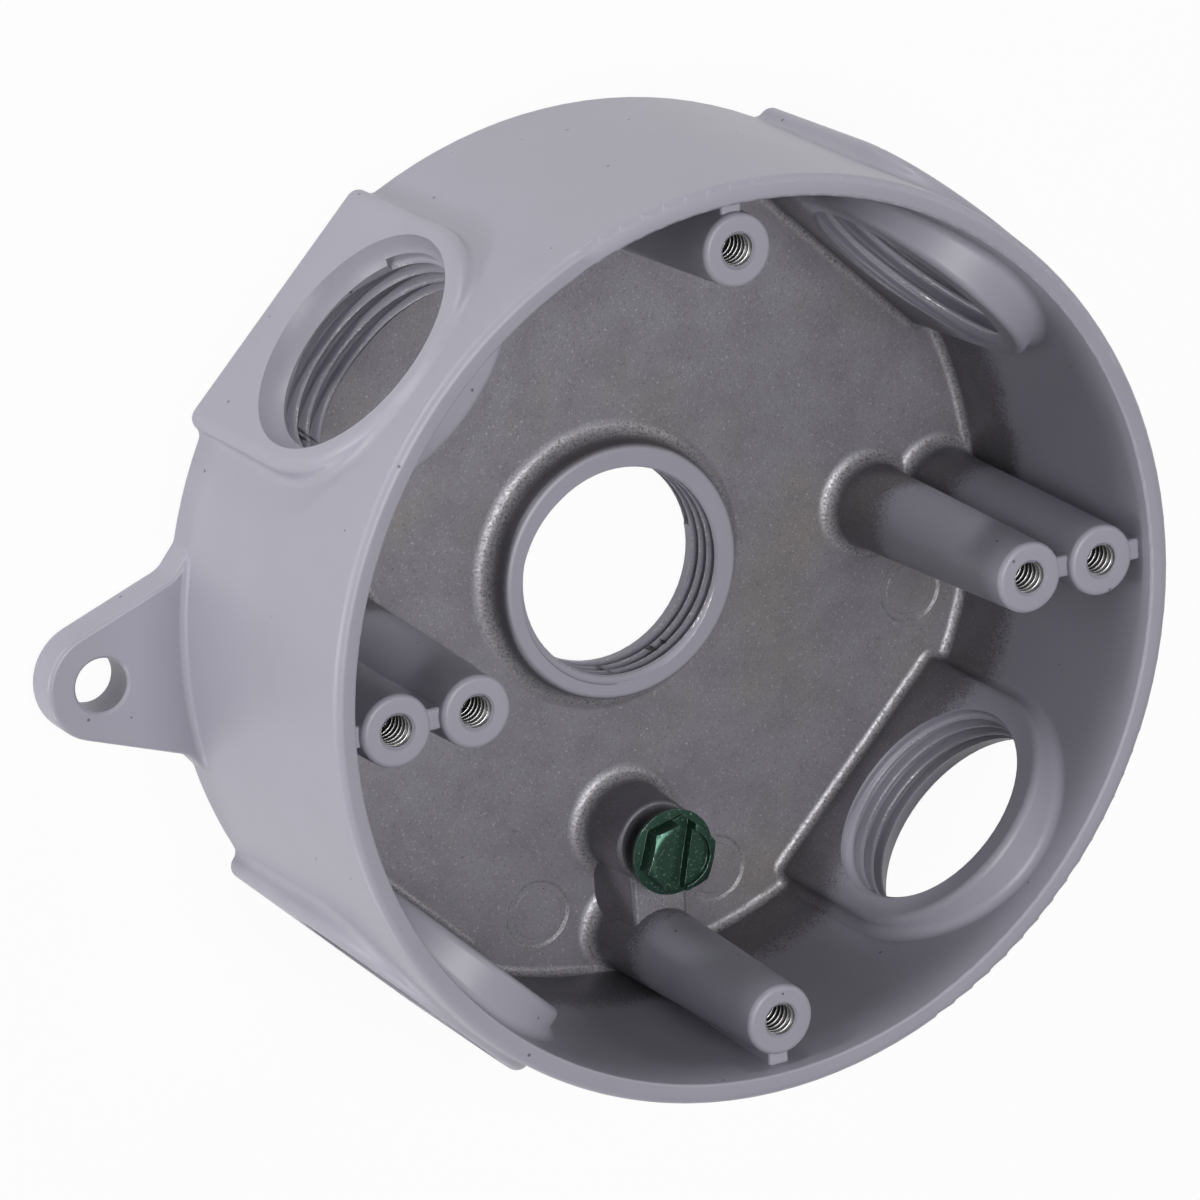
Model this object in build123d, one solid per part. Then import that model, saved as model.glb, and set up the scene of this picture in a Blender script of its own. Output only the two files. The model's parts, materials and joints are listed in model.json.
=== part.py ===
import os
from math import asin, atan2, cos, degrees, hypot, radians, sin, tan

from build123d import *

# Millimetres. The back face lies on Z = 0, the opening faces +Z, and the two lugs lie on X.

# Round shell of the casting
depth = 40.0
rim_radius = 52.4
rim_wall = 2.4
outer_draft = 1.43
inner_draft = 1.6
floor_thickness = 3.5
rim_outer_rounding = 1.0
rim_inner_rounding = 0.3
back_rounding = 0.8
floor_rounding = 1.2

# Threaded outlets, drawn at the crest of the thread
outlet_crest_radius = 12.2
outlet_wall = 3.8
outlet_angles = (45.0, 135.0, 225.0, 315.0)
outlet_length = 8.6
outlet_stand = 0.8
outlet_root_radius = 13.25
outlet_mouth_flare = 0.4
outlet_mouth = 1.4
outlet_inner_chamfer = 0.4
pad_rounding = 1.5
pad_foot_rounding = 1.3
hub_narrowing = 0.4
hub_rounding = 0.9
hub_foot_rounding = 1.1

# Threaded outlet in the back
centre_hub_wall = 2.8
centre_hub_height = 3.95
centre_hub_rounding = 0.8
centre_hub_foot_rounding = 2.3
centre_inner_chamfer = 0.3
centre_back_chamfer = 0.4

# Cover screw posts
post_drop = 1.6
post_radius = 4.1
post_draft = 1.57
post_rounding = 0.65
post_foot_rounding = 2.0
outer_spacing = 88.9
inner_spacing = 69.85
cover_tap_radius = 1.727
cover_mouth_radius = 2.15
cover_tap_depth = 20.0
drill_point = 59.0
rib_width = 2.5
rib_drop = 1.0
rib_rounding = 0.4

# Ground screw pad and its web to the lower post
ground_y = -31.45
ground_pad_top = 11.7
ground_pad_radius = 5.0
ground_pad_draft = 2.8
ground_pad_rounding = 0.5
ground_web_half_width = 3.45
ground_web_draft = 5.0
ground_web_rounding = 0.6
ground_hole_floor = 1.2

# Ejector pin marks on the floor: a shallow dish with a slightly raised disc in it
ejector_spots = ((-11.7, -40.0), (11.7, -40.0), (40.0, -11.7))
ejector_radius = 4.1
ejector_edge = 0.35
ejector_depth = 0.25
ejector_disc_radius = 3.0
ejector_disc_height = 0.12

# Mounting lugs
lug_spacing = 127.0
lug_hole_radius = 3.1
lug_end_radius = 6.4
lug_taper = 20.3
lug_thickness = 4.8
lug_flare_start = 1.6
lug_flare_angle = 50.0
lug_flare_rounding = 3.0
lug_edge_rounding = 0.6
lug_foot_rounding = 0.8
lug_hole_chamfer = 0.3

# Ground screw, standing part of the way out
screw_pitch = 0.79375
turns_out = 4
screw_thread_length = 9.525
shank_radius = 2.4
shank_clearance = 0.06
shank_point = 0.5
flange_radius = 5.1
flange_thickness = 0.7
flange_slope = 0.2
head_across_flats = 7.94
head_height = 2.3
head_corner_angle = 43.0
head_top_radius = 3.97
head_chamfer_drop = 0.35
head_dish_radius = 3.45
head_dish_depth = 0.7
slot_width = 2.1
slot_depth = 2.0
slot_turn = -12.4

# Sizes that follow from the ones above
rim_inner_radius = rim_radius - rim_wall
back_radius = rim_radius + depth * tan(radians(outer_draft))
overshoot = 2.0
outlet_height = depth / 2
post_face = depth - post_drop
rib_top = post_face - rib_drop
pad_radius = outlet_crest_radius + outlet_wall
pad_reach = rim_radius + outlet_stand
hub_radius = pad_radius - hub_narrowing
hub_reach = pad_reach - outlet_length
centre_hub_radius = outlet_crest_radius + centre_hub_wall
centre_hub_top = floor_thickness + centre_hub_height
outer_post = outer_spacing / 2
inner_post = inner_spacing / 2
lug_reach = lug_spacing / 2
ground_hole_radius = shank_radius + shank_clearance
screw_seat = ground_pad_top + turns_out * screw_pitch

# Plan of a lug: the tangent points of its round end, then the bends into the wall
lug_touch_x = lug_reach + lug_end_radius * sin(radians(lug_taper))
lug_touch_y = lug_end_radius * cos(radians(lug_taper))
lug_flare_x = rim_radius + lug_flare_start
lug_flare_y = lug_touch_y + (lug_touch_x - lug_flare_x) * tan(radians(lug_taper))
lug_root_x = rim_radius - rim_wall / 2 - lug_flare_start
lug_root_y = lug_flare_y + (lug_flare_x - lug_root_x) * tan(radians(lug_flare_angle))

# The seam of turned surfaces runs halfway between a lug and the next pad
lug_edge = degrees(atan2(lug_root_y, lug_root_x))
pad_edge = outlet_angles[0] - degrees(asin(pad_radius / rim_radius))
seam_angle = (lug_edge + pad_edge) / 2


def inner_radius(height):
    """Radius of the drafted inside wall at a height."""
    return rim_inner_radius - (depth - height) * tan(radians(inner_draft))


def radial_plane(angle, reach, tilt=0.0):
    """Plane across one outlet axis, its local Y running up the box."""
    turn = radians(angle)
    out = Vector(cos(turn), sin(turn), 0)
    side = Vector(-sin(turn), cos(turn), 0)
    normal = out * cos(radians(tilt)) - Vector(0, 0, 1) * sin(radians(tilt))
    return Plane(origin=out * reach + Vector(0, 0, outlet_height), x_dir=side, z_dir=normal)


def arch(radius, drop):
    """Round-topped outline whose straight sides run down by drop."""
    return Circle(radius) + Pos(0, -drop / 2) * Rectangle(2 * radius, drop)


def turned(points, roundings):
    """Solid of revolution about Z, with the listed corners of its outline rounded."""
    face = make_face(Polyline(*points, close=True))
    for corner, rounding in roundings:
        spot = Vector(corner[0], corner[1], 0)
        face = fillet(face.vertices().sort_by_distance(spot)[0], rounding)
    return Rot(0, 0, seam_angle) * revolve(Plane.XZ * face, Axis.Z)


def post(top, top_radius, draft, top_rounding, foot_rounding):
    """Tapered round post that rises from the floor with a flared foot."""
    foot_radius = top_radius + (top - floor_thickness) * tan(radians(draft))
    flare = foot_radius + foot_rounding
    below = floor_thickness - overshoot
    corners = (
        (0, below),
        (flare, below),
        (flare, floor_thickness),
        (foot_radius, floor_thickness),
        (top_radius, top),
        (0, top),
    )
    return turned(corners, ((corners[3], foot_rounding), (corners[4], top_rounding)))


def slab(length, half_top, half_foot, bottom, top, rounding):
    """Straight rib along +X from the origin, drafted, with rounded top edges."""
    section = make_face(
        Polyline(
            (-half_foot, bottom),
            (half_foot, bottom),
            (half_top, top),
            (-half_top, top),
            close=True,
        )
    )
    upper = section.vertices().group_by(Axis.Y)[-1]
    section = fillet(upper, rounding)
    return extrude(Plane.YZ * section, amount=length)


def place(angle, reach):
    """Location on the floor plan at an angle and distance from the centre."""
    turn = radians(angle)
    return Pos(reach * cos(turn), reach * sin(turn), 0)


# Outside of the casting: drafted drum, four outlet pads and two lugs
drum = turned(
    ((0, 0), (back_radius, 0), (rim_radius, depth), (0, depth)),
    (((rim_radius, depth), rim_outer_rounding),),
)

shell = drum
for angle in outlet_angles:
    outline = radial_plane(angle, 0) * arch(pad_radius, outlet_height)
    prism = extrude(outline, amount=pad_reach)
    front = prism.faces().sort_by(Axis(origin=(0, 0, 0), direction=radial_plane(angle, 0).z_dir))[-1]
    rounded = front.edges().filter_by(lambda edge: (edge @ 0.5).Z > 0.01)
    shell += fillet(rounded, pad_rounding)

trim = Solid.make_box(pad_radius, 2 * pad_radius, depth + 2 * overshoot)
trim = Pos(pad_reach, -pad_radius, -overshoot) * trim
for angle in outlet_angles:
    shell -= Rot(0, 0, angle) * trim


def lug_plan():
    """Lug outline towards +X: round end, tapered sides and a flare at the wall."""
    side = make_face(
        Polyline(
            (lug_root_x, -lug_root_y),
            (lug_flare_x, -lug_flare_y),
            (lug_touch_x, -lug_touch_y),
            (lug_touch_x, lug_touch_y),
            (lug_flare_x, lug_flare_y),
            (lug_root_x, lug_root_y),
            close=True,
        )
    )
    bends = []
    for y in (-lug_flare_y, lug_flare_y):
        bends.append(side.vertices().sort_by_distance(Vector(lug_flare_x, y, 0))[0])
    side = fillet(bends, lug_flare_rounding)
    return side + Pos(lug_reach, 0) * Circle(lug_end_radius)


lug_prism = extrude(lug_plan(), amount=lug_thickness)
lug_top = lug_prism.faces().sort_by(Axis.Z)[-1]
lug_rim = lug_top.edges().filter_by(lambda edge: (edge @ 0.5).X > rim_radius - rim_wall)
lug = fillet(lug_rim, lug_edge_rounding)
shell += lug
shell += Rot(0, 0, 180) * lug


def near_drum(point):
    """Whether a point lies on the drafted outside wall."""
    wall = back_radius - point.Z * tan(radians(outer_draft))
    return abs(hypot(point.X, point.Y) - wall) < 0.002


def turn_of(edge):
    """Angle about the box axis of the middle of an edge."""
    middle = edge @ 0.5
    return degrees(atan2(middle.Y, middle.X)) % 360


def is_junction(edge):
    """Whether an edge is where a pad or a lug meets the outside wall."""
    points = (edge @ 0, edge @ 0.5, edge @ 1)
    if not all(near_drum(point) for point in points):
        return False
    if max(point.Z for point in points) < 0.01:
        return False
    if points[1].Z > depth - rim_outer_rounding - 0.01:
        return False
    return abs(turn_of(edge) - seam_angle) > 0.01


def at_lug(edge):
    """Whether an edge lies in the sector of a lug."""
    return abs((turn_of(edge) + 90) % 180 - 90) < seam_angle


def on_level(edge, level):
    """Whether an edge lies in the plane at a height."""
    return all(abs((edge @ share).Z - level) < 0.001 for share in (0, 0.5, 1))


pad_feet = [edge for edge in shell.edges() if is_junction(edge) and not at_lug(edge)]
shell = fillet(pad_feet, pad_foot_rounding)
lug_feet = [edge for edge in shell.edges() if is_junction(edge) and at_lug(edge)]
shell = fillet(lug_feet, lug_foot_rounding)
back_edges = [edge for edge in shell.edges() if on_level(edge, 0)]
shell = fillet(back_edges, back_rounding)

# Inside of the casting: the open space, narrowed by the four outlet hubs
cavity = turned(
    (
        (0, floor_thickness),
        (inner_radius(floor_thickness), floor_thickness),
        (inner_radius(depth + overshoot), depth + overshoot),
        (0, depth + overshoot),
    ),
    (),
)
for angle in outlet_angles:
    outline = radial_plane(angle, hub_reach - 2 * overshoot) * arch(hub_radius, outlet_height + overshoot)
    prism = extrude(outline, amount=outlet_length + 2 * overshoot)
    cavity -= split(prism, bisect_by=radial_plane(angle, hub_reach, inner_draft), keep=Keep.TOP)


def is_hub_front(edge):
    """Whether an edge outlines the flat front of an outlet hub."""
    for share in (0, 0.5, 1):
        point = edge @ share
        off = radians((turn_of(edge)) // 90 * 90 + 45)
        along = point.X * cos(off) + point.Y * sin(off)
        face = hub_reach + (point.Z - outlet_height) * tan(radians(inner_draft))
        if abs(along - face) > 0.01:
            return False
    return not on_level(edge, floor_thickness)


def is_hub_foot(edge):
    """Whether an edge is where an outlet hub meets the inside wall."""
    for share in (0, 0.5, 1):
        point = edge @ share
        if abs(hypot(point.X, point.Y) - inner_radius(point.Z)) > 0.002:
            return False
    middle = edge @ 0.5
    if middle.Z < floor_thickness + 0.01 or middle.Z > depth:
        return False
    return abs(turn_of(edge) - seam_angle) > 0.01


cavity = fillet([edge for edge in cavity.edges() if is_hub_front(edge)], hub_rounding)
cavity = fillet([edge for edge in cavity.edges() if is_hub_foot(edge)], hub_foot_rounding)
cavity = fillet([edge for edge in cavity.edges() if on_level(edge, floor_thickness)], floor_rounding)

# Posts for the cover screws and the ribs that tie them to the wall
cover_post = post(post_face, post_radius, post_draft, post_rounding, post_foot_rounding)
cover_spots = [place(angle, outer_post) for angle in (0, 90, 180, 270)]
cover_spots += [place(angle, inner_post) for angle in (0, 180)]
for spot in cover_spots:
    cavity -= spot * cover_post

wall_rib = slab(outer_post, rib_width / 2, rib_width / 2, 0, rib_top, rib_rounding)
tie_rib = slab(outer_post - inner_post, rib_width / 2, rib_width / 2, 0, rib_top, rib_rounding)
for angle in (0, 90, 180, 270):
    cavity -= Rot(0, 0, angle) * (Pos(outer_post, 0, 0) * wall_rib)
for angle in (0, 180):
    cavity -= Rot(0, 0, angle) * (Pos(inner_post, 0, 0) * tie_rib)

# Ground screw pad with its web, and the raised hub round the back outlet
cavity -= Pos(0, ground_y, 0) * post(
    ground_pad_top,
    ground_pad_radius,
    ground_pad_draft,
    ground_pad_rounding,
    post_foot_rounding,
)
web_foot = ground_web_half_width + ground_pad_top * tan(radians(ground_web_draft))
ground_web = slab(
    ground_y + outer_post,
    ground_web_half_width,
    web_foot,
    0,
    ground_pad_top,
    ground_web_rounding,
)
cavity -= Pos(0, ground_y, 0) * (Rot(0, 0, -90) * ground_web)
cavity -= post(
    centre_hub_top,
    centre_hub_radius,
    inner_draft,
    centre_hub_rounding,
    centre_hub_foot_rounding,
)

box_body = shell - cavity
rim_edge = [
    edge
    for edge in box_body.edges()
    if on_level(edge, depth) and hypot((edge @ 0.5).X, (edge @ 0.5).Y) < rim_inner_radius + 0.1
]
box_body = fillet(rim_edge, rim_inner_rounding)

# Bores of the four side outlets: a smooth flared mouth, a shoulder, then the thread's crests
mouth_radius = outlet_root_radius + outlet_mouth_flare
mouth_slope = outlet_mouth_flare / outlet_mouth
crest_start = outlet_mouth + outlet_root_radius - outlet_crest_radius
side_bore = turned(
    (
        (0, -overshoot),
        (mouth_radius + overshoot * mouth_slope, -overshoot),
        (outlet_root_radius, outlet_mouth),
        (outlet_crest_radius, crest_start),
        (outlet_crest_radius, outlet_length + overshoot),
        (0, outlet_length + overshoot),
    ),
    (),
)
for angle in outlet_angles:
    box_body -= radial_plane(angle + 180, -pad_reach) * side_bore
bore_ends = [edge for edge in box_body.edges() if is_hub_front(edge) and edge.geom_type == GeomType.ELLIPSE]
bore_ends = [edge for edge in bore_ends if (edge @ 0.5).Z < outlet_height + outlet_crest_radius + 0.1]
box_body = chamfer(bore_ends, outlet_inner_chamfer)

# Bore of the back outlet
centre_bore = turned(
    (
        (0, -overshoot),
        (outlet_crest_radius + centre_back_chamfer + overshoot, -overshoot),
        (outlet_crest_radius, centre_back_chamfer),
        (outlet_crest_radius, centre_hub_top - centre_inner_chamfer),
        (outlet_crest_radius + centre_inner_chamfer + overshoot, centre_hub_top + overshoot),
        (0, centre_hub_top + overshoot),
    ),
    (),
)
box_body -= centre_bore

# Tapped holes of the posts, with a countersunk mouth and a drill point
tap_floor = post_face - cover_tap_depth
tap_mouth = post_face - (cover_mouth_radius - cover_tap_radius)
tapped_hole = turned(
    (
        (0, tap_floor - cover_tap_radius / tan(radians(drill_point))),
        (cover_tap_radius, tap_floor),
        (cover_tap_radius, tap_mouth),
        (cover_mouth_radius + overshoot, post_face + overshoot),
        (0, post_face + overshoot),
    ),
    (),
)
for spot in cover_spots:
    box_body -= spot * tapped_hole

# Hole for the ground screw
ground_depth = ground_pad_top - ground_hole_floor
box_body -= Pos(0, ground_y, ground_hole_floor + ground_depth) * Cylinder(
    ground_hole_radius,
    ground_depth,
    align=(Align.CENTER, Align.CENTER, Align.MAX),
)

# Holes of the mounting lugs
lug_bore = turned(
    (
        (0, -overshoot),
        (lug_hole_radius + lug_hole_chamfer + overshoot, -overshoot),
        (lug_hole_radius, lug_hole_chamfer),
        (lug_hole_radius, lug_thickness - lug_hole_chamfer),
        (lug_hole_radius + lug_hole_chamfer + overshoot, lug_thickness + overshoot),
        (0, lug_thickness + overshoot),
    ),
    (),
)
for angle in (0, 180):
    box_body -= place(angle, lug_reach) * lug_bore

# Shallow marks left by the ejector pins
dish_floor = floor_thickness - ejector_depth
disc_top = dish_floor + ejector_disc_height
pin_mark = turned(
    (
        (0, disc_top),
        (ejector_disc_radius, disc_top),
        (ejector_disc_radius + ejector_disc_height, dish_floor),
        (ejector_radius - ejector_edge, dish_floor),
        (ejector_radius, floor_thickness),
        (ejector_radius, floor_thickness + ejector_depth),
        (0, floor_thickness + ejector_depth),
    ),
    (),
)
for spot in ejector_spots:
    box_body -= Pos(spot[0], spot[1], 0) * pin_mark

# Ground screw: slotted hexagon head on a thin washer face
shank_bottom = screw_seat - screw_thread_length
shank_face = make_face(
    Polyline(
        (0, 0),
        (shank_radius - shank_point, 0),
        (shank_radius, shank_point),
        (shank_radius, screw_thread_length),
        (flange_radius, screw_thread_length),
        (flange_radius, screw_thread_length + flange_thickness - flange_slope),
        (shank_radius, screw_thread_length + flange_thickness),
        (0, screw_thread_length + flange_thickness),
        close=True,
    )
)
ground_screw = revolve(Plane.XZ * shank_face, Axis.Z)
head_base = screw_thread_length + flange_thickness - flange_slope
head_top = screw_thread_length + flange_thickness + head_height
hexagon = RegularPolygon(head_across_flats / 2, 6, major_radius=False)
head = extrude(Pos(0, 0, head_base) * (Rot(0, 0, head_corner_angle - 30) * hexagon), amount=head_top - head_base)
corner_reach = head_across_flats / 3 ** 0.5
corner_slope = head_chamfer_drop / (corner_reach - head_top_radius)
head &= revolve(
    Plane.XZ
    * make_face(
        Polyline(
            (0, head_base),
            (corner_reach + overshoot, head_base),
            (corner_reach + overshoot, head_top - corner_slope * (corner_reach + overshoot - head_top_radius)),
            (head_top_radius, head_top),
            (0, head_top),
            close=True,
        )
    ),
    Axis.Z,
)
ground_screw += head
ground_screw -= Pos(0, 0, head_top) * Cylinder(head_dish_radius, 2 * head_dish_depth)
slot = Box(2 * corner_reach, slot_width, 2 * slot_depth)
ground_screw -= Pos(0, 0, head_top) * (Rot(0, 0, 90 + slot_turn) * slot)
ground_screw = Pos(0, ground_y, shank_bottom) * ground_screw

os.makedirs("parts", exist_ok=True)
export_step(box_body, "parts/box_body.step")
export_step(ground_screw, "parts/ground_screw.step")
print("box_body", box_body.is_valid, len(box_body.solids()), round(box_body.volume))
print("ground_screw", ground_screw.is_valid, len(ground_screw.solids()), round(ground_screw.volume))
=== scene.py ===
"""Weatherproof splice box: threads, finishes, studio and camera round the fixed CAD frame."""

import json
import math

import bmesh
import bpy
from bpy.props import FloatProperty, FloatVectorProperty, IntProperty, PointerProperty
from bpy.types import Operator, Panel, PropertyGroup
from mathutils import Matrix, Vector


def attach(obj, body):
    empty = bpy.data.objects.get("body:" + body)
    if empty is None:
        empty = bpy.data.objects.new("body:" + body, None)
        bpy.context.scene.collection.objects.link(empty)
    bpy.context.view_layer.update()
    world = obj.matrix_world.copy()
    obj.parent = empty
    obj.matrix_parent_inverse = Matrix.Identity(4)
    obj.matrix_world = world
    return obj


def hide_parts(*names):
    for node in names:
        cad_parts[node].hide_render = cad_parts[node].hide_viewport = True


bl_info = {
    "name": "Weatherproof Splice Box",
    "version": (1, 0, 0),
    "blender": (4, 5, 0),
    "location": "3D View > Sidebar > Splice Box",
    "description": "Cuts the threads, paints the casting and sets up the studio",
    "category": "Object",
}

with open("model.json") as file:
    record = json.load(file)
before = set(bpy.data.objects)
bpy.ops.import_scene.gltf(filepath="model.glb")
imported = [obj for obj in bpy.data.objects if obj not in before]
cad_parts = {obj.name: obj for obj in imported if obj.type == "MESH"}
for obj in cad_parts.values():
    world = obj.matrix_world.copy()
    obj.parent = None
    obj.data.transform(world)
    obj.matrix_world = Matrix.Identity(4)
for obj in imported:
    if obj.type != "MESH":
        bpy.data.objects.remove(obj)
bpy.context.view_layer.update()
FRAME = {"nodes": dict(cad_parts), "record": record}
MM = 0.001
INCH = 0.0254
MOUNTS = {mount["name"]: mount for mount in FRAME["record"]["mounts"]}
CAST_NODE = "box_body"
SCREW_NODE = "ground_screw"

# Places read from the frame
OUTLETS = [mount for name, mount in MOUNTS.items() if "outlet" in name]
PIPE_CREST = MOUNTS["back_outlet"]["dims"]["r_mm"] * MM
COVER_TAP = MOUNTS["cover_screws_outer"]["dims"]["hole_r_mm"] * MM
POST_FACE = MOUNTS["cover_screws_outer"]["pos_m"][2]
OUTER_POST = MOUNTS["cover_screws_outer"]["dims"]["pcd_mm"] * MM / 2
INNER_POST = MOUNTS["cover_screws_inner"]["dims"]["spacing_x_mm"] * MM / 2
POSTS = [(OUTER_POST, 0), (-OUTER_POST, 0), (0, OUTER_POST), (0, -OUTER_POST)]
POSTS += [(INNER_POST, 0), (-INNER_POST, 0)]

# Heights and radii of the casting that its finish follows
FLOOR = 3.5 * MM
HUB_TOP = 7.45 * MM
HUB_RADIUS = 15.0 * MM
WALL_MIDDLE = 50.6 * MM

# Material slots of the casting, after that of its coat
THREAD_SLOT, TAPPED_SLOT = 1, 2


def linear(code):
    """Linear colour of an sRGB hex code."""
    values = [int(code[place:place + 2], 16) / 255 for place in (1, 3, 5)]
    return [v / 12.92 if v <= 0.04045 else ((v + 0.055) / 1.055) ** 2.4 for v in values]


class SpliceBoxSizes(PropertyGroup):
    """Thread sizes, in scene units."""

    pipe_pitch: FloatProperty(
        name="Pipe pitch",
        description="Axial distance between turns of the outlet threads",
        default=INCH / 14,
        unit="LENGTH",
    )
    pipe_depth: FloatProperty(
        name="Pipe thread depth",
        description="Depth of the outlet threads below their crests",
        default=1.0 * MM,
        unit="LENGTH",
    )
    pipe_length: FloatProperty(
        name="Pipe thread length",
        description="Length of the tool that cuts one outlet, past both ends of its wall",
        default=11.3 * MM,
        unit="LENGTH",
    )
    cover_pitch: FloatProperty(
        name="Cover screw pitch",
        description="Axial distance between turns in the cover posts",
        default=INCH / 32,
        unit="LENGTH",
    )
    cover_depth: FloatProperty(
        name="Cover thread depth",
        description="Depth of the cover post threads below their crests",
        default=0.38 * MM,
        unit="LENGTH",
    )
    cover_reach: FloatProperty(
        name="Cover thread reach",
        description="How far down the cover posts the thread is cut",
        default=12 * MM,
        unit="LENGTH",
    )
    screw_root: FloatProperty(
        name="Ground screw root",
        description="Radius of the ground screw between its threads",
        default=1.95 * MM,
        unit="LENGTH",
    )
    screw_crest: FloatProperty(
        name="Ground screw crest",
        description="Radius of the ground screw over its threads",
        default=2.4 * MM,
        unit="LENGTH",
    )
    edge_wear: FloatProperty(
        name="Worn edge",
        description="Width of the worn edges of the ground screw's head",
        default=0.1 * MM,
        unit="LENGTH",
    )
    pipe_steps: IntProperty(
        name="Pipe steps",
        description="Straight steps in one turn of an outlet thread",
        default=72,
        min=12,
    )
    screw_steps: IntProperty(
        name="Screw steps",
        description="Straight steps in one turn of a small thread",
        default=28,
        min=12,
    )


class SpliceBoxColours(PropertyGroup):
    """Base colours of the finishes."""

    paint: FloatVectorProperty(
        name="Powder coat",
        description="Grey coat on the casting",
        subtype="COLOR",
        default=linear("#9E9CA8"),
    )
    casting: FloatVectorProperty(
        name="Bare casting",
        description="Unpainted die-cast metal on the floor",
        subtype="COLOR",
        default=linear("#7F7D84"),
    )
    cut_metal: FloatVectorProperty(
        name="Cut metal",
        description="Tapped threads of the cover posts",
        subtype="COLOR",
        default=linear("#B2B1B2"),
    )
    green: FloatVectorProperty(
        name="Green plating",
        description="Dyed plating of the ground screw",
        subtype="COLOR",
        default=linear("#3B5C4D"),
    )


def add(tree, kind, inputs=None, **settings):
    """Add a node; inputs map a socket to a value, to a socket, or to a node's first output."""
    node = tree.nodes.new(kind)
    for name, value in settings.items():
        setattr(node, name, value)
    for key, value in (inputs or {}).items():
        if isinstance(value, bpy.types.Node):
            value = next(output for output in value.outputs if output.enabled)
        if isinstance(value, bpy.types.NodeSocket):
            tree.links.new(value, node.inputs[key])
        elif node.inputs[key].type == "RGBA":
            node.inputs[key].default_value = (*value, 1.0)
        else:
            node.inputs[key].default_value = value
    return node


# Threads


MERGE = 0.001 * MM
CREST_CLEARANCE = 0.03 * MM

# The fast Boolean never returns for some plugs: unturned ones, and 24 or 26 steps a turn.
# These plugs use 28 steps with this turn and lift. Try a change to any thread size with care.
PLUG_TURN = 0.37
PLUG_LIFT = 0.0137 * MM

PLUG_INPUTS = (
    ("Pitch", "NodeSocketFloat"),
    ("Turns", "NodeSocketFloat"),
    ("Low Radius", "NodeSocketFloat"),
    ("High Radius", "NodeSocketFloat"),
    ("Low Share", "NodeSocketFloat"),
    ("High Share", "NodeSocketFloat"),
    ("Steps per Turn", "NodeSocketInt"),
    ("Steps per Pitch", "NodeSocketInt"),
    ("Material", "NodeSocketMaterial"),
)


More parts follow.
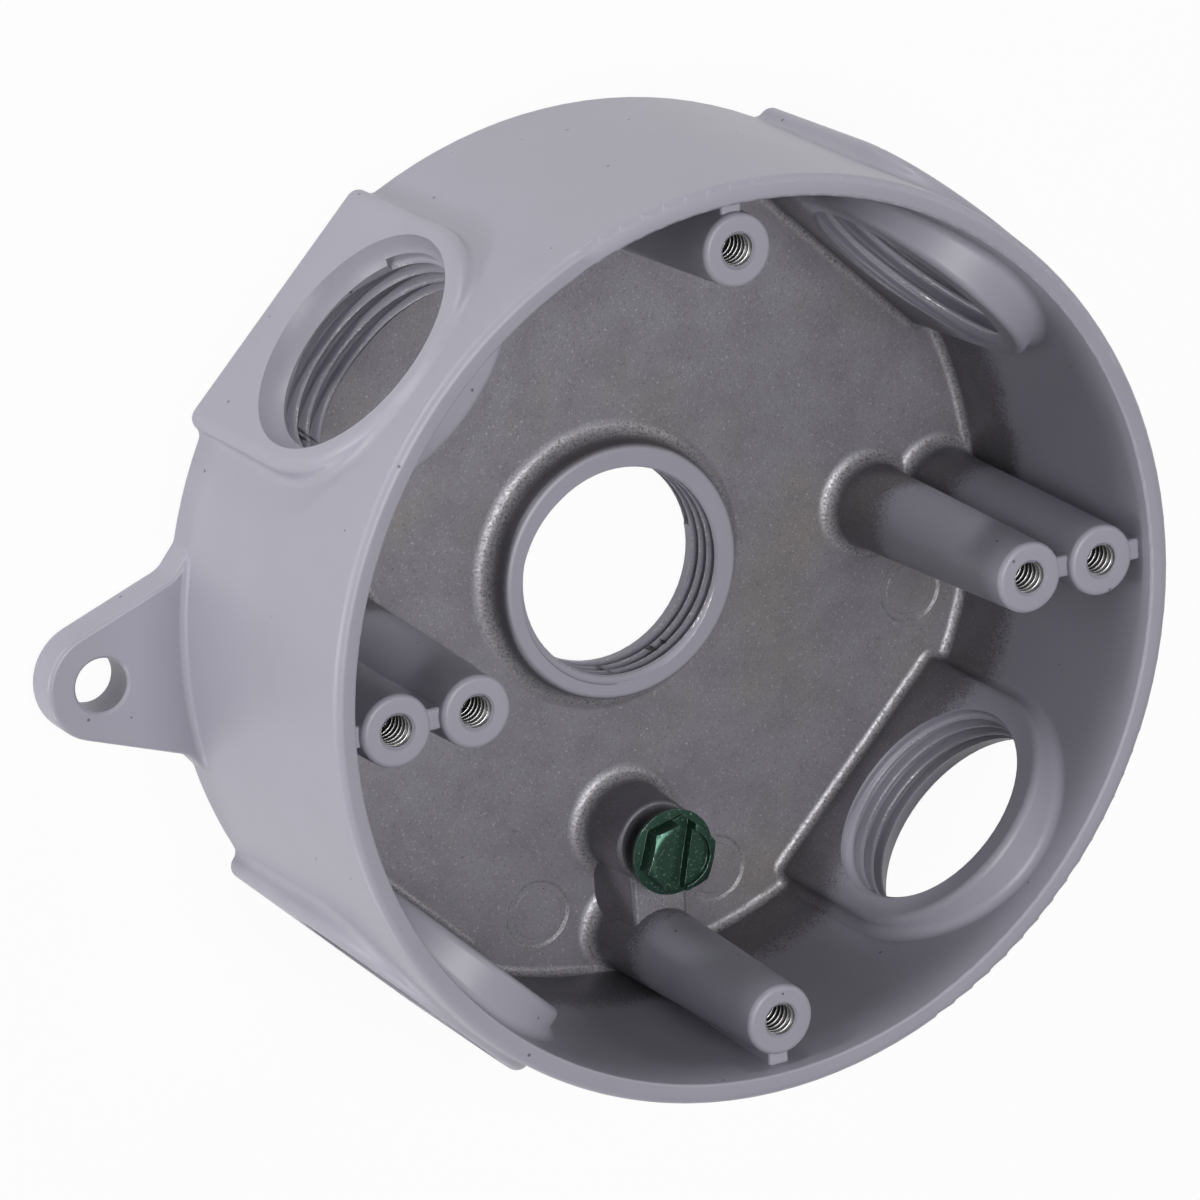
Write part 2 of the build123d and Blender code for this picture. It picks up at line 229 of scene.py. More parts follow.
def plug_tree():
    """Geometry Nodes tree of a closed, right-hand threaded plug that rises from the origin.

    One pitch of the wavy outline is swept along the helix, so that each turn meets the next.
    The open ends are then drawn together on the axis.
    """
    tree = bpy.data.node_groups.new("Threaded Plug", "GeometryNodeTree")
    for name, kind in PLUG_INPUTS:
        tree.interface.new_socket(name, in_out="INPUT", socket_type=kind)
    tree.interface.new_socket("Geometry", in_out="OUTPUT", socket_type="NodeSocketGeometry")
    given = add(tree, "NodeGroupInput").outputs
    rise = add(tree, "ShaderNodeMath", {0: given["Pitch"], 1: given["Turns"]}, operation="MULTIPLY")
    depth = add(
        tree,
        "ShaderNodeMath",
        {0: given["High Radius"], 1: given["Low Radius"]},
        operation="SUBTRACT",
    )

    helix = add(
        tree,
        "GeometryNodeCurveSpiral",
        {
            "Resolution": given["Steps per Turn"],
            "Rotations": given["Turns"],
            "Start Radius": given["Low Radius"],
            "End Radius": given["Low Radius"],
            "Height": rise,
            "Reverse": True,
        },
    )
    upright = add(tree, "GeometryNodeSetCurveNormal", {"Curve": helix}, mode="Z_UP")

    # One pitch of the outline: flat, a rounded slope out, flat, and back
    top = add(tree, "ShaderNodeCombineXYZ", {1: given["Pitch"]})
    line = add(tree, "GeometryNodeCurvePrimitiveLine", {"Start": (0.0, 0.0, 0.0), "End": top})
    fine = add(
        tree,
        "GeometryNodeResampleCurve",
        {"Curve": line, "Count": given["Steps per Pitch"]},
        mode="COUNT",
    )
    share = add(tree, "GeometryNodeSplineParameter").outputs["Factor"]
    double = add(tree, "ShaderNodeMath", {0: share, 1: 2.0}, operation="MULTIPLY")
    wave = add(tree, "ShaderNodeMath", {0: double, 1: 1.0}, operation="PINGPONG")
    full = add(tree, "ShaderNodeMath", {0: 1.0, 1: given["High Share"]}, operation="SUBTRACT")
    ends = {"Value": wave, "From Min": given["Low Share"], "From Max": full}
    curved = add(tree, "ShaderNodeMapRange", ends, interpolation_type="SMOOTHSTEP")
    straight = add(tree, "ShaderNodeMapRange", ends)
    both = add(tree, "ShaderNodeMath", {0: curved, 1: straight}, operation="ADD")
    shape = add(tree, "ShaderNodeMath", {0: both, 1: 0.5}, operation="MULTIPLY")
    out = add(tree, "ShaderNodeMath", {0: shape, 1: depth}, operation="MULTIPLY")
    level = add(tree, "ShaderNodeMath", {0: share, 1: given["Pitch"]}, operation="MULTIPLY")
    spot = add(tree, "ShaderNodeCombineXYZ", {0: out, 1: level})
    outline = add(tree, "GeometryNodeSetPosition", {"Geometry": fine, "Position": spot})

    swept = add(tree, "GeometryNodeCurveToMesh", {"Curve": upright, "Profile Curve": outline})
    joined = add(tree, "GeometryNodeMergeByDistance", {"Geometry": swept, "Distance": MERGE})

    # Height over the low radius, 0 to 1, which the finish of a thread reads
    place = add(tree, "GeometryNodeInputPosition")
    axes = add(tree, "ShaderNodeSeparateXYZ", {0: place}).outputs
    flat = add(tree, "ShaderNodeCombineXYZ", {0: axes[0], 1: axes[1]})
    radius = add(tree, "ShaderNodeVectorMath", {0: flat}, operation="LENGTH").outputs["Value"]
    height = add(
        tree,
        "ShaderNodeMapRange",
        {"Value": radius, "From Min": given["Low Radius"], "From Max": given["High Radius"]},
    )
    marked = add(
        tree,
        "GeometryNodeStoreNamedAttribute",
        {"Geometry": joined, "Name": "thread_height", "Value": height},
        data_type="FLOAT",
        domain="POINT",
    )

    # The two open ends, pulled to points a pitch past them on the axis
    count = add(tree, "GeometryNodeInputMeshEdgeNeighbors")
    loose = add(tree, "FunctionNodeCompare", {2: count, 3: 1}, data_type="INT", operation="EQUAL")
    caps = add(
        tree,
        "GeometryNodeExtrudeMesh",
        {"Mesh": marked, "Selection": loose, "Offset Scale": 0.0},
        mode="EDGES",
    )
    total = add(tree, "ShaderNodeMath", {0: rise, 1: given["Pitch"]}, operation="ADD")
    middle = add(tree, "ShaderNodeMath", {0: total, 1: 0.5}, operation="MULTIPLY")
    above = add(tree, "ShaderNodeMath", {0: axes[2], 1: middle}, operation="SUBTRACT")
    side = add(tree, "ShaderNodeMath", {0: above}, operation="SIGN")
    far = add(tree, "ShaderNodeMath", {0: middle, 1: given["Pitch"]}, operation="ADD")
    tip = add(tree, "ShaderNodeMath", {0: side, 1: far, 2: middle}, operation="MULTIPLY_ADD")
    point = add(tree, "ShaderNodeCombineXYZ", {2: tip})
    closed = add(
        tree,
        "GeometryNodeSetPosition",
        {"Geometry": caps, "Selection": caps.outputs["Top"], "Position": point},
    )
    solid = add(tree, "GeometryNodeMergeByDistance", {"Geometry": closed, "Distance": MERGE})
    real = add(tree, "GeometryNodeRealizeInstances", {0: solid})
    painted = add(tree, "GeometryNodeSetMaterial", {"Geometry": real, "Material": given["Material"]})
    add(tree, "NodeGroupOutput", {"Geometry": painted})
    return tree


def plug_mesh(tree, values):
    """Plain mesh of one threaded plug."""
    holder = bpy.data.objects.new("plug", bpy.data.meshes.new("plug"))
    bpy.context.scene.collection.objects.link(holder)
    modifier = holder.modifiers.new("Thread", "NODES")
    modifier.node_group = tree
    for item in tree.interface.items_tree:
        if item.in_out == "INPUT":
            modifier[item.identifier] = values[item.name]
    holder.update_tag()
    mesh = bpy.data.meshes.new_from_object(holder.evaluated_get(bpy.context.evaluated_depsgraph_get()))
    bpy.data.objects.remove(holder)
    return mesh


def along(axis, point):
    """Matrix that takes +Z at the origin to an axis through a point."""
    turn = Vector((0, 0, 1)).rotation_difference(Vector(axis)).to_matrix().to_4x4()
    return Matrix.Translation(point) @ turn


def merged_copy(node, name, materials):
    """New object with a CAD node's mesh, its loose triangles joined, and material slots."""
    work = bmesh.new()
    work.from_mesh(FRAME["nodes"][node].data)
    bmesh.ops.remove_doubles(work, verts=work.verts, dist=MERGE)
    mesh = bpy.data.meshes.new(name)
    work.to_mesh(mesh)
    work.free()
    mesh.materials.clear()
    for made in materials:
        mesh.materials.append(made)
    piece = bpy.data.objects.new(name, mesh)
    bpy.context.scene.collection.objects.link(piece)
    return piece


def evaluated(piece):
    """Replace an object's mesh by its modified one and drop the modifiers."""
    bpy.context.view_layer.update()
    mesh = bpy.data.meshes.new_from_object(piece.evaluated_get(bpy.context.evaluated_depsgraph_get()))
    piece.modifiers.clear()
    piece.data = mesh


def soften(piece, angle, smooth_slots=()):
    """Smooth shading led by the large faces; edges over an angle and between slots stay sharp.

    A slot in smooth_slots has no sharp edges inside it, so the flanks of a thread stay round.
    """
    work = bmesh.new()
    work.from_mesh(piece.data)
    for face in work.faces:
        face.smooth = True
    for edge in work.edges:
        slots = {face.material_index for face in edge.link_faces}
        if len(slots) > 1:
            edge.smooth = False
        elif not slots.issubset(smooth_slots):
            edge.smooth = edge.calc_face_angle(0) < angle
    work.to_mesh(piece.data)
    work.free()
    weighted = piece.modifiers.new("Normals", "WEIGHTED_NORMAL")
    weighted.mode = "FACE_AREA"
    weighted.weight = 50
    weighted.keep_sharp = True


# Materials


def material(name):
    """Empty node material with its tree."""
    made = bpy.data.materials.new(name)
    made.use_nodes = True
    made.node_tree.nodes.clear()
    return made, made.node_tree


def coated_casting(colours):
    """Grey powder coat over die-cast metal: a satin skin with faint orange peel.

    The coat was sprayed from outside, so it thins down the inside into darker unpainted metal;
    up the lower walls that darkening is partly painted shade. The floor is unpainted: dull grey
    with fine bright grit and faint brown stains. The hollows round its edges, posts and hub are
    lighter: partly burnished where the trimming tools rubbed them, partly painted highlight.
    """
    made, tree = material("Grey powder coat over die-cast metal")
    coordinates = add(tree, "ShaderNodeTexCoord").outputs
    place = coordinates["Object"]
    axes = add(tree, "ShaderNodeSeparateXYZ", {0: place}).outputs
    flat = add(tree, "ShaderNodeCombineXYZ", {0: axes[0], 1: axes[1]})
    radius = add(tree, "ShaderNodeVectorMath", {0: flat}, operation="LENGTH").outputs["Value"]
    slope = add(tree, "ShaderNodeSeparateXYZ", {0: coordinates["Normal"]}).outputs[2]

    # Grit of 0.3 mm, clouds of 5 mm and stains of 16 mm, as on the real floor
    grit = add(
        tree,
        "ShaderNodeTexNoise",
        {"Vector": place, "Scale": 1 / (0.3 * MM), "Detail": 4.0, "Roughness": 0.65},
    )
    cloud = add(
        tree,
        "ShaderNodeTexNoise",
        {"Vector": place, "Scale": 1 / (5 * MM), "Detail": 5.0, "Roughness": 0.6},
    )
    stain = add(tree, "ShaderNodeTexNoise", {"Vector": place, "Scale": 1 / (16 * MM), "Detail": 3.0})

    # Unpainted metal, darker than the coat: inside the wall, above the back and thinning out upwards; on the
    # lower inside walls this darkening is partly painted shade
    height = add(
        tree,
        "ShaderNodeMapRange",
        {"Value": axes[2], "From Min": 6 * MM, "From Max": 21 * MM},
        interpolation_type="SMOOTHSTEP",
    )
    dusty = add(tree, "ShaderNodeMath", {0: grit, 1: 0.9, 2: height}, operation="MULTIPLY_ADD")
    patchy = add(tree, "ShaderNodeMath", {0: cloud, 1: 0.5, 2: dusty}, operation="MULTIPLY_ADD")
    thin = add(
        tree,
        "ShaderNodeMapRange",
        {"Value": patchy, "From Min": 1.4, "From Max": 1.0},
        interpolation_type="SMOOTHSTEP",
    )
    inside = add(
        tree,
        "ShaderNodeMapRange",
        {"Value": radius, "From Min": WALL_MIDDLE + 0.1 * MM, "From Max": WALL_MIDDLE},
    )
    above = add(
        tree,
        "ShaderNodeMapRange",
        {"Value": axes[2], "From Min": FLOOR - 0.9 * MM, "From Max": FLOOR - 0.6 * MM},
    )
    off_hub = add(
        tree,
        "ShaderNodeMapRange",
        {"Value": radius, "From Min": HUB_RADIUS - 0.5 * MM, "From Max": HUB_RADIUS},
    )
    under_hub = add(
        tree,
        "ShaderNodeMapRange",
        {"Value": axes[2], "From Min": HUB_TOP - 0.15 * MM, "From Max": HUB_TOP - 0.5 * MM},
    )
    hub = add(tree, "ShaderNodeMath", {0: off_hub, 1: under_hub}, operation="MAXIMUM")
    open_side = add(tree, "ShaderNodeMath", {0: inside, 1: above}, operation="MULTIPLY")
    unpainted = add(tree, "ShaderNodeMath", {0: open_side, 1: hub}, operation="MULTIPLY")
    bare_metal_and_shade = add(tree, "ShaderNodeMath", {0: thin, 1: unpainted}, operation="MULTIPLY")

    # Lighter hollows, low down where the surface turns from floor to wall: partly burnished metal, partly
    # painted highlight
    turned = add(tree, "ShaderNodeMapRange", {"Value": slope, "From Min": 0.985, "From Max": 0.9})
    steep = add(tree, "ShaderNodeMapRange", {"Value": slope, "From Min": 0.15, "From Max": 0.6})
    low = add(
        tree,
        "ShaderNodeMapRange",
        {"Value": axes[2], "From Min": FLOOR + 2.0 * MM, "From Max": FLOOR + 0.9 * MM},
    )
    hollow = add(tree, "ShaderNodeMath", {0: turned, 1: steep}, operation="MULTIPLY")
    hollow = add(tree, "ShaderNodeMath", {0: hollow, 1: low}, operation="MULTIPLY")
    rubbed = add(tree, "ShaderNodeMapRange", {"Value": grit, "From Min": 0.35, "From Max": 0.6})
    burnish_and_highlight = add(tree, "ShaderNodeMath", {0: hollow, 1: rubbed}, operation="MULTIPLY")

    stained = add(
        tree,
        "ShaderNodeMapRange",
        {"Value": stain, "From Min": 0.5, "From Max": 0.75, "To Max": 0.6},
        interpolation_type="SMOOTHSTEP",
    )
    clouded = add(
        tree,
        "ShaderNodeMapRange",
        {"Value": cloud, "From Min": 0.35, "From Max": 0.7, "To Max": 0.5},
        interpolation_type="SMOOTHSTEP",
    )
    glint = add(tree, "ShaderNodeMapRange", {"Value": grit, "From Min": 0.6, "From Max": 0.74})
    pit = add(tree, "ShaderNodeMapRange", {"Value": grit, "From Min": 0.42, "From Max": 0.3, "To Max": 0.7})
    metal = add(
        tree,
        "ShaderNodeMix",
        {0: stained, 6: colours.casting, 7: linear("#7F7973")},
        data_type="RGBA",
    )
    metal = add(tree, "ShaderNodeMix", {0: clouded, 6: metal, 7: linear("#6C6A70")}, data_type="RGBA")
    metal = add(tree, "ShaderNodeMix", {0: glint, 6: metal, 7: linear("#AEACB1")}, data_type="RGBA")
    metal = add(tree, "ShaderNodeMix", {0: pit, 6: metal, 7: linear("#525056")}, data_type="RGBA")
    # Painted highlight: the hollows are made lighter in colour as well as burnished
    metal = add(tree, "ShaderNodeMix", {0: burnish_and_highlight, 6: metal, 7: linear("#AFADB1")}, data_type="RGBA")

    # Paint: a slightly uneven tone and a few dark specks of 0.4 mm
    tone = add(tree, "ShaderNodeTexNoise", {"Vector": place, "Scale": 1 / (9 * MM), "Detail": 2.0})
    paint = add(
        tree,
        "ShaderNodeMix",
        {0: tone, 6: colours.paint, 7: linear("#9896A1")},
        data_type="RGBA",
    )
    cells = add(tree, "ShaderNodeTexVoronoi", {"Vector": place, "Scale": 1 / (5 * MM)})
    speck = add(
        tree,
        "ShaderNodeMapRange",
        {"Value": cells.outputs["Distance"], "From Min": 0.045, "From Max": 0.03},
    )
    paint = add(tree, "ShaderNodeMix", {0: speck, 6: paint, 7: linear("#5B5960")}, data_type="RGBA")
    # The darker unpainted metal goes in here; on the lower inside walls it is partly painted shade
    skin = add(tree, "ShaderNodeMix", {0: bare_metal_and_shade, 6: paint, 7: metal}, data_type="RGBA")

    metallic = add(tree, "ShaderNodeMapRange", {"Value": bare_metal_and_shade, "To Max": 0.55})
    dull = add(tree, "ShaderNodeMapRange", {"Value": bare_metal_and_shade, "To Min": 0.42, "To Max": 0.52})
    rough = add(tree, "ShaderNodeMath", {0: burnish_and_highlight, 1: -0.14, 2: dull}, operation="MULTIPLY_ADD")

    # Relief: orange peel about 1 mm across, and the grit of the bare casting
    peel = add(tree, "ShaderNodeTexNoise", {"Vector": place, "Scale": 1 / (1.1 * MM), "Detail": 2.0})
    coarse = add(tree, "ShaderNodeMath", {0: grit, 1: cloud}, operation="ADD")
    cast = add(tree, "ShaderNodeMath", {0: coarse, 1: bare_metal_and_shade}, operation="MULTIPLY")
    peeled = add(tree, "ShaderNodeMath", {0: peel, 1: 0.15}, operation="MULTIPLY")
    relief = add(tree, "ShaderNodeMath", {0: cast, 1: 1.2, 2: peeled}, operation="MULTIPLY_ADD")
    bump = add(tree, "ShaderNodeBump", {"Strength": 0.5, "Distance": 0.06 * MM, "Height": relief})
    shader = add(
        tree,
        "ShaderNodeBsdfPrincipled",
        {"Base Color": skin, "Metallic": metallic, "Roughness": rough, "Normal": bump},
    )
    add(tree, "ShaderNodeOutputMaterial", {"Surface": shader})
    return made


def coated_thread(colours):
    """Powder coat on the outlet threads: darker in the roots with painted shade, rubbed to bright grit on the
    crests.
    """
    made, tree = material("Grey powder coat on cut thread")
    place = add(tree, "ShaderNodeTexCoord").outputs["Object"]
    height = add(tree, "ShaderNodeAttribute", attribute_name="thread_height").outputs["Fac"]
    grit = add(
        tree,
        "ShaderNodeTexNoise",
        {"Vector": place, "Scale": 1 / (0.35 * MM), "Detail": 3.0, "Roughness": 0.6},
    )
    patch = add(tree, "ShaderNodeTexNoise", {"Vector": place, "Scale": 1 / (6 * MM), "Detail": 2.0})
    crest = add(tree, "ShaderNodeMapRange", {"Value": height, "From Min": 0.22, "From Max": 0.04})
    rough_spot = add(tree, "ShaderNodeMapRange", {"Value": grit, "From Min": 0.5, "From Max": 0.62})
    rubbed_part = add(tree, "ShaderNodeMapRange", {"Value": patch, "From Min": 0.42, "From Max": 0.6})
    worn = add(tree, "ShaderNodeMath", {0: crest, 1: rough_spot}, operation="MULTIPLY")
    worn = add(tree, "ShaderNodeMath", {0: worn, 1: rubbed_part}, operation="MULTIPLY")
    # Painted shade: the roots of the thread are darkened
    root = add(
        tree,
        "ShaderNodeMapRange",
        {"Value": height, "From Min": 0.5, "From Max": 1.0, "To Max": 0.45},
    )
    paint = add(tree, "ShaderNodeMix", {0: root, 6: colours.paint, 7: linear("#77757D")}, data_type="RGBA")
    skin = add(tree, "ShaderNodeMix", {0: worn, 6: paint, 7: linear("#C9C6C4")}, data_type="RGBA")
    rough = add(tree, "ShaderNodeMapRange", {"Value": worn, "To Min": 0.42, "To Max": 0.3})
    bump = add(tree, "ShaderNodeBump", {"Strength": 0.4, "Distance": 0.05 * MM, "Height": grit})
    shader = add(
        tree,
        "ShaderNodeBsdfPrincipled",
        {"Base Color": skin, "Metallic": worn, "Roughness": rough, "Normal": bump},
    )
    add(tree, "ShaderNodeOutputMaterial", {"Surface": shader})
    return made


def tapped_metal(colours):
    """Freshly tapped die-cast metal: bright crests, and roots darkened with painted shade."""
    made, tree = material("Tapped die-cast metal")
    height = add(tree, "ShaderNodeAttribute", attribute_name="thread_height").outputs["Fac"]
    place = add(tree, "ShaderNodeTexCoord").outputs["Object"]
    marks = add(tree, "ShaderNodeTexNoise", {"Vector": place, "Scale": 1 / (0.3 * MM), "Detail": 2.0})
    # Painted shade: the roots of the thread are darkened
    root = add(tree, "ShaderNodeMapRange", {"Value": height, "From Min": 0.25, "From Max": 0.9})
    tone = add(tree, "ShaderNodeMix", {0: root, 6: colours.cut_metal, 7: linear("#4A4846")}, data_type="RGBA")
    rough = add(tree, "ShaderNodeMapRange", {"Value": marks, "To Min": 0.22, "To Max": 0.42})
    shader = add(
        tree,
        "ShaderNodeBsdfPrincipled",
        {"Base Color": tone, "Metallic": 1.0, "Roughness": rough},
    )
    add(tree, "ShaderNodeOutputMaterial", {"Surface": shader})
    return made


def green_plating(colours):
    """Green dyed zinc plating on a cold-headed steel screw: thin, dark in the hollows, smeared."""
    made, tree = material("Green dyed zinc plating")
    place = add(tree, "ShaderNodeTexCoord").outputs["Object"]
    smear = add(tree, "ShaderNodeTexNoise", {"Vector": place, "Scale": 1 / (1.6 * MM), "Detail": 4.0})
    grain = add(tree, "ShaderNodeTexNoise", {"Vector": place, "Scale": 1 / (0.35 * MM), "Detail": 3.0})
    scuff = add(
        tree,
        "ShaderNodeMapRange",
        {"Value": grain, "From Min": 0.6, "From Max": 0.72, "To Max": 0.7},
    )
    tone = add(tree, "ShaderNodeMix", {0: smear, 6: colours.green, 7: linear("#31473F")}, data_type="RGBA")
    tone = add(tree, "ShaderNodeMix", {0: scuff, 6: tone, 7: linear("#8FA79B")}, data_type="RGBA")
    rough = add(tree, "ShaderNodeMapRange", {"Value": smear, "To Min": 0.25, "To Max": 0.4})
    bump = add(tree, "ShaderNodeBump", {"Strength": 0.3, "Distance": 0.03 * MM, "Height": grain})
    shader = add(
        tree,
        "ShaderNodeBsdfPrincipled",
        {"Base Color": tone, "Metallic": 0.9, "Roughness": rough, "Normal": bump},
    )
    add(tree, "ShaderNodeOutputMaterial", {"Surface": shader})
    return made


def worn_plating_and_highlight():
    """Edges of the screw's head, pale: partly where the green is rubbed through to the zinc, partly painted
    highlight.
    """
    made, tree = material("Zinc plating rubbed bright")
    place = add(tree, "ShaderNodeTexCoord").outputs["Object"]
    # Painted highlight along the edges, mixed with the worn zinc
    rub = add(tree, "ShaderNodeTexNoise", {"Vector": place, "Scale": 1 / (0.8 * MM), "Detail": 3.0})
    through = add(tree, "ShaderNodeMapRange", {"Value": rub, "From Min": 0.4, "From Max": 0.6})
    tone = add(
        tree,
        "ShaderNodeMix",
        {0: through, 6: linear("#7F9C8D"), 7: linear("#DCE4DF")},
        data_type="RGBA",
    )
    shader = add(
        tree,
        "ShaderNodeBsdfPrincipled",
        {"Base Color": tone, "Metallic": 0.9, "Roughness": 0.3},
    )
    add(tree, "ShaderNodeOutputMaterial", {"Surface": shader})
    return made


class SPLICEBOX_OT_casting(Operator):
    """Cut the outlet and cover-post threads into a copy of the casting and finish it"""

    bl_idname = "splicebox.casting"
    bl_label = "Casting"

    def execute(self, context):
        sizes = context.scene.splice_box_sizes
        colours = context.scene.splice_box_colours
        materials = (coated_casting(colours), coated_thread(colours), tapped_metal(colours))
        piece = merged_copy(CAST_NODE, "splice_box_casting", materials)
        tree = plug_tree()
        pipe = plug_mesh(
            tree,
            {
                "Pitch": sizes.pipe_pitch,
                "Turns": sizes.pipe_length / sizes.pipe_pitch - 1,
                "Low Radius": PIPE_CREST + CREST_CLEARANCE,
                "High Radius": PIPE_CREST + sizes.pipe_depth,
                "Low Share": 0.2,
                "High Share": 0.15,
                "Steps per Turn": sizes.pipe_steps,
                "Steps per Pitch": 13,
                "Material": materials[THREAD_SLOT],
            },
        )
        cover = plug_mesh(
            tree,
            {
                "Pitch": sizes.cover_pitch,
                "Turns": sizes.cover_reach / sizes.cover_pitch,
                "Low Radius": COVER_TAP + CREST_CLEARANCE,
                "High Radius": COVER_TAP + sizes.cover_depth,
                "Low Share": 0.12,
                "High Share": 0.12,
                "Steps per Turn": sizes.screw_steps,
                "Steps per Pitch": 7,
                "Material": materials[TAPPED_SLOT],
            },
        )

        cutter = bmesh.new()
        for mount in OUTLETS:
            axis = Vector(mount["axis"])
            start = Vector(mount["pos_m"]) - axis * sizes.pipe_length / 2
            shifted = pipe.copy()
            shifted.transform(along(axis, start))
            cutter.from_mesh(shifted)
        pipe_faces = len(cutter.faces)
        turn = Matrix.Rotation(PLUG_TURN, 4, "Z")
        for x, y in POSTS:
            shifted = cover.copy()
            base = POST_FACE - sizes.cover_reach + PLUG_LIFT
            shifted.transform(Matrix.Translation((x, y, base)) @ turn)
            cutter.from_mesh(shifted)
        cutter.faces.ensure_lookup_table()
        for face in cutter.faces:
            face.material_index = THREAD_SLOT if face.index < pipe_faces else TAPPED_SLOT
        tool_mesh = bpy.data.meshes.new("thread_cutter")
        cutter.to_mesh(tool_mesh)
        cutter.free()
        for made in materials:
            tool_mesh.materials.append(made)
        tool = bpy.data.objects.new("thread_cutter", tool_mesh)
        context.scene.collection.objects.link(tool)

        before = len(piece.data.polygons)
        boolean = piece.modifiers.new("Threads", "BOOLEAN")
        boolean.operation = "DIFFERENCE"
        boolean.solver = "MANIFOLD"
        boolean.object = tool
        evaluated(piece)
        bpy.data.objects.remove(tool)
        if len(piece.data.polygons) <= before:
            raise RuntimeError("the thread cut failed")
        soften(piece, math.radians(34), {THREAD_SLOT, TAPPED_SLOT})
        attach(piece, "box")
        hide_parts(CAST_NODE)
        return {"FINISHED"}


class SPLICEBOX_OT_ground_screw(Operator):
    """Wear the edges of the green ground screw's head with painted highlight, and give its shank a thread"""

    bl_idname = "splicebox.ground_screw"
    bl_label = "Ground Screw"

    def execute(self, context):
        sizes = context.scene.splice_box_sizes
        colours = context.scene.splice_box_colours
        materials = (green_plating(colours), worn_plating_and_highlight())
        piece = merged_copy(SCREW_NODE, "green_ground_screw", materials)

        # The head alone: everything from the underside of the flange up
        head = bmesh.new()
        head.from_mesh(piece.data)
        middle = sum((vert.co for vert in head.verts), Vector()) / len(head.verts)
        reach = max(math.hypot(vert.co.x - middle.x, vert.co.y - middle.y) for vert in head.verts)
        edge = reach - 0.3 * MM
        wide = [v.co for v in head.verts if math.hypot(v.co.x - middle.x, v.co.y - middle.y) > edge]
        seat = min(point.z for point in wide)
        centre_x = (min(point.x for point in wide) + max(point.x for point in wide)) / 2
        centre_y = (min(point.y for point in wide) + max(point.y for point in wide)) / 2
        bottom = min(vert.co.z for vert in head.verts)
        cut_level = seat + 0.02 * MM
        cut = bmesh.ops.bisect_plane(
            head,
            geom=[*head.verts, *head.edges, *head.faces],
            plane_co=(0, 0, cut_level),
            plane_no=(0, 0, -1),
            clear_outer=True,
        )
        rim = [item for item in cut["geom_cut"] if isinstance(item, bmesh.types.BMEdge)]
        bmesh.ops.edgeloop_fill(head, edges=rim)
        bmesh.ops.recalc_face_normals(head, faces=head.faces)
        head.to_mesh(piece.data)
        head.free()
        bevel = piece.modifiers.new("Edges", "BEVEL")
        bevel.width = sizes.edge_wear
        bevel.segments = 2
        bevel.limit_method = "ANGLE"
        bevel.angle_limit = math.radians(35)
        # The bevel takes the pale edge material: worn zinc and painted highlight
        bevel.material = 1
        evaluated(piece)

        pitch = sizes.cover_pitch
        length = seat - bottom
        shank = plug_mesh(
            plug_tree(),
            {
                "Pitch": pitch,
                "Turns": length / pitch - 1.2,
                "Low Radius": sizes.screw_root,
                "High Radius": sizes.screw_crest,
                "Low Share": 0.12,
                "High Share": 0.15,
                "Steps per Turn": sizes.screw_steps,
                "Steps per Pitch": 9,
                "Material": materials[0],
            },
        )
        shank.transform(Matrix.Translation((centre_x, centre_y, seat + 0.15 * MM - length + 0.2 * pitch)))
        whole = bmesh.new()
        whole.from_mesh(piece.data)
        whole.from_mesh(shank)
        whole.to_mesh(piece.data)
        whole.free()
        soften(piece, math.radians(40))
        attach(piece, "ground_screw")
        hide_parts(SCREW_NODE)
        return {"FINISHED"}


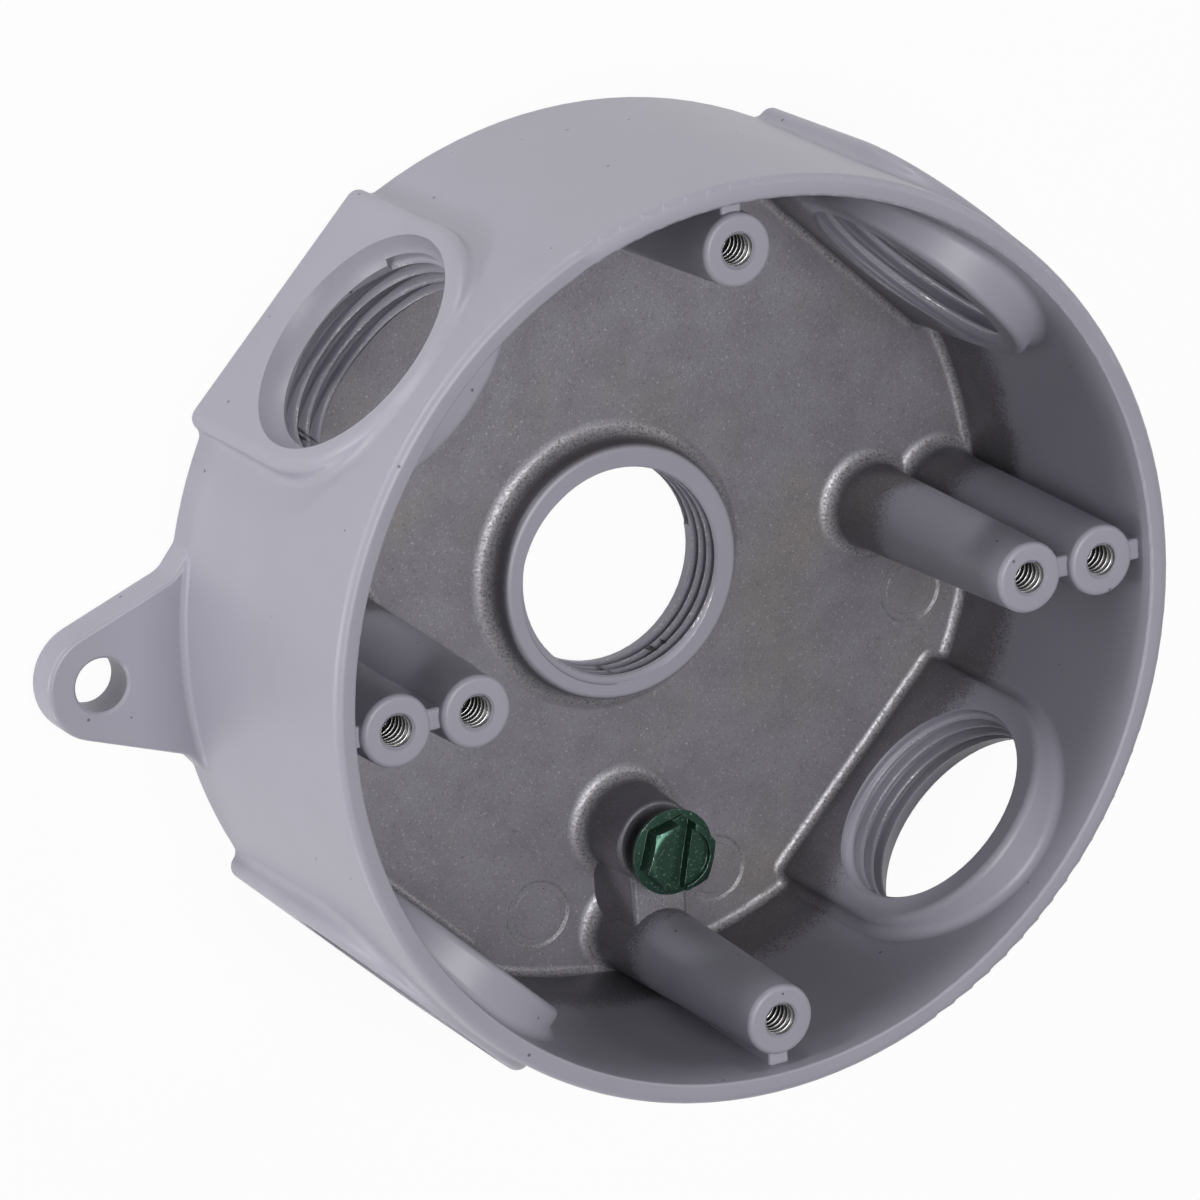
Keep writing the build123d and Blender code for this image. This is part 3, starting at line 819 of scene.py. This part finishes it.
class SPLICEBOX_OT_stage(Operator):
    """Lay the floor, hang the lamps and stand the camera at the photograph's angle"""

    bl_idname = "splicebox.stage"
    bl_label = "Stage"

    def execute(self, context):
        scene = context.scene
        scene.view_settings.view_transform = "Standard"

        half = 3.0
        mesh = bpy.data.meshes.new("studio_floor")
        corners = [(-half, -half, 0), (half, -half, 0), (half, half, 0), (-half, half, 0)]
        mesh.from_pydata(corners, [], [(0, 1, 2, 3)])
        floor = bpy.data.objects.new("studio_floor", mesh)
        scene.collection.objects.link(floor)
        made, tree = material("Pale studio floor")
        path = add(tree, "ShaderNodeLightPath").outputs
        sharp = add(
            tree,
            "ShaderNodeMath",
            {0: path["Is Glossy Ray"], 1: path["Is Transmission Ray"]},
            operation="MAXIMUM",
        )
        seen = add(tree, "ShaderNodeMath", {0: path["Is Camera Ray"], 1: sharp}, operation="MAXIMUM")
        share = add(tree, "ShaderNodeMath", {0: seen, 1: 0.94}, operation="MULTIPLY")
        matte = add(tree, "ShaderNodeBsdfDiffuse", {"Color": (0.8, 0.8, 0.8)})
        white = add(tree, "ShaderNodeEmission", {"Color": (1.0, 1.0, 1.0), "Strength": 1.0})
        mixed = add(tree, "ShaderNodeMixShader", {0: share, 1: matte, 2: white})
        add(tree, "ShaderNodeOutputMaterial", {"Surface": mixed})
        mesh.materials.append(made)

        # White to the camera and faint in gloss, but no light on matte faces: the lamps give that
        world = bpy.data.worlds.new("Studio")
        world.use_nodes = True
        tree = world.node_tree
        tree.nodes.clear()
        path = add(tree, "ShaderNodeLightPath").outputs
        sharp = add(
            tree,
            "ShaderNodeMath",
            {0: path["Is Glossy Ray"], 1: path["Is Transmission Ray"]},
            operation="MAXIMUM",
        )
        faint = add(tree, "ShaderNodeMath", {0: sharp, 1: 0.35}, operation="MULTIPLY")
        seen = add(tree, "ShaderNodeMath", {0: path["Is Camera Ray"], 1: faint}, operation="MAXIMUM")
        plain = add(tree, "ShaderNodeBackground", {"Color": (1.0, 1.0, 1.0), "Strength": seen})
        add(tree, "ShaderNodeOutputWorld", {"Surface": plain})
        scene.world = world

        # Azimuth, elevation, distance, size and power of each lamp; all face the origin
        lamps = (
            ("top", 135, 83, 1.2, 0.6, 10.6),
            ("low_back", 85, 3, 1.2, 0.12, 3.0),
            ("low_back_left", 135, 3, 1.2, 0.12, 3.4),
            ("low_left", 180, 3, 1.2, 0.12, 3.8),
            ("low_front_left", 225, 3, 1.2, 0.12, 3.0),
            ("left", 165, 18, 1.2, 0.6, 1.8),
            ("right", 20, 35, 1.2, 0.6, 1.9),
        )
        for name, azimuth, elevation, distance, size, power in lamps:
            data = bpy.data.lights.new(name, "AREA")
            data.shape = "SQUARE"
            data.size = size
            data.energy = power
            lamp = bpy.data.objects.new(name, data)
            around = Matrix.Rotation(math.radians(azimuth), 3, "Z")
            upwards = Matrix.Rotation(-math.radians(elevation), 3, "Y")
            place = around @ upwards @ Vector((distance, 0, 0))
            lamp.matrix_world = along(place, place)
            scene.collection.objects.link(lamp)

        data = bpy.data.cameras.new("photograph")
        data.lens = 181.59
        data.sensor_width = 36.0
        data.clip_start = 0.01
        camera = bpy.data.objects.new("photograph", data)
        right = Vector((0.87406863, -0.06132118, 0.48191673))
        up = Vector((0.20631436, 0.94495455, -0.2539592))
        back = right.cross(up)
        place = Matrix((right, up, back)).transposed().to_4x4()
        place.translation = Vector((-304.222, 217.484, 581.608)) * MM
        camera.matrix_world = place
        scene.collection.objects.link(camera)
        scene.camera = camera
        return {"FINISHED"}


class SPLICEBOX_PT_panel(Panel):
    """Sidebar panel that lists the pieces and their sizes"""

    bl_idname = "SPLICEBOX_PT_panel"
    bl_label = "Splice Box"
    bl_space_type = "VIEW_3D"
    bl_region_type = "UI"
    bl_category = "Splice Box"

    def draw(self, context):
        for group in (context.scene.splice_box_sizes, context.scene.splice_box_colours):
            for name in group.__annotations__:
                self.layout.prop(group, name)
        for operator in OPERATORS:
            self.layout.operator(operator.bl_idname)


GROUPS = (SpliceBoxSizes, SpliceBoxColours)
OPERATORS = (SPLICEBOX_OT_casting, SPLICEBOX_OT_ground_screw, SPLICEBOX_OT_stage)


def register():
    for item in (*GROUPS, *OPERATORS, SPLICEBOX_PT_panel):
        bpy.utils.register_class(item)
    bpy.types.Scene.splice_box_sizes = PointerProperty(type=SpliceBoxSizes)
    bpy.types.Scene.splice_box_colours = PointerProperty(type=SpliceBoxColours)


def unregister():
    del bpy.types.Scene.splice_box_colours
    del bpy.types.Scene.splice_box_sizes
    for item in reversed((*GROUPS, *OPERATORS, SPLICEBOX_PT_panel)):
        bpy.utils.unregister_class(item)


def main():
    register()
    bpy.ops.splicebox.casting()
    bpy.ops.splicebox.ground_screw()
    bpy.ops.splicebox.stage()


if __name__ == "__main__":
    main()
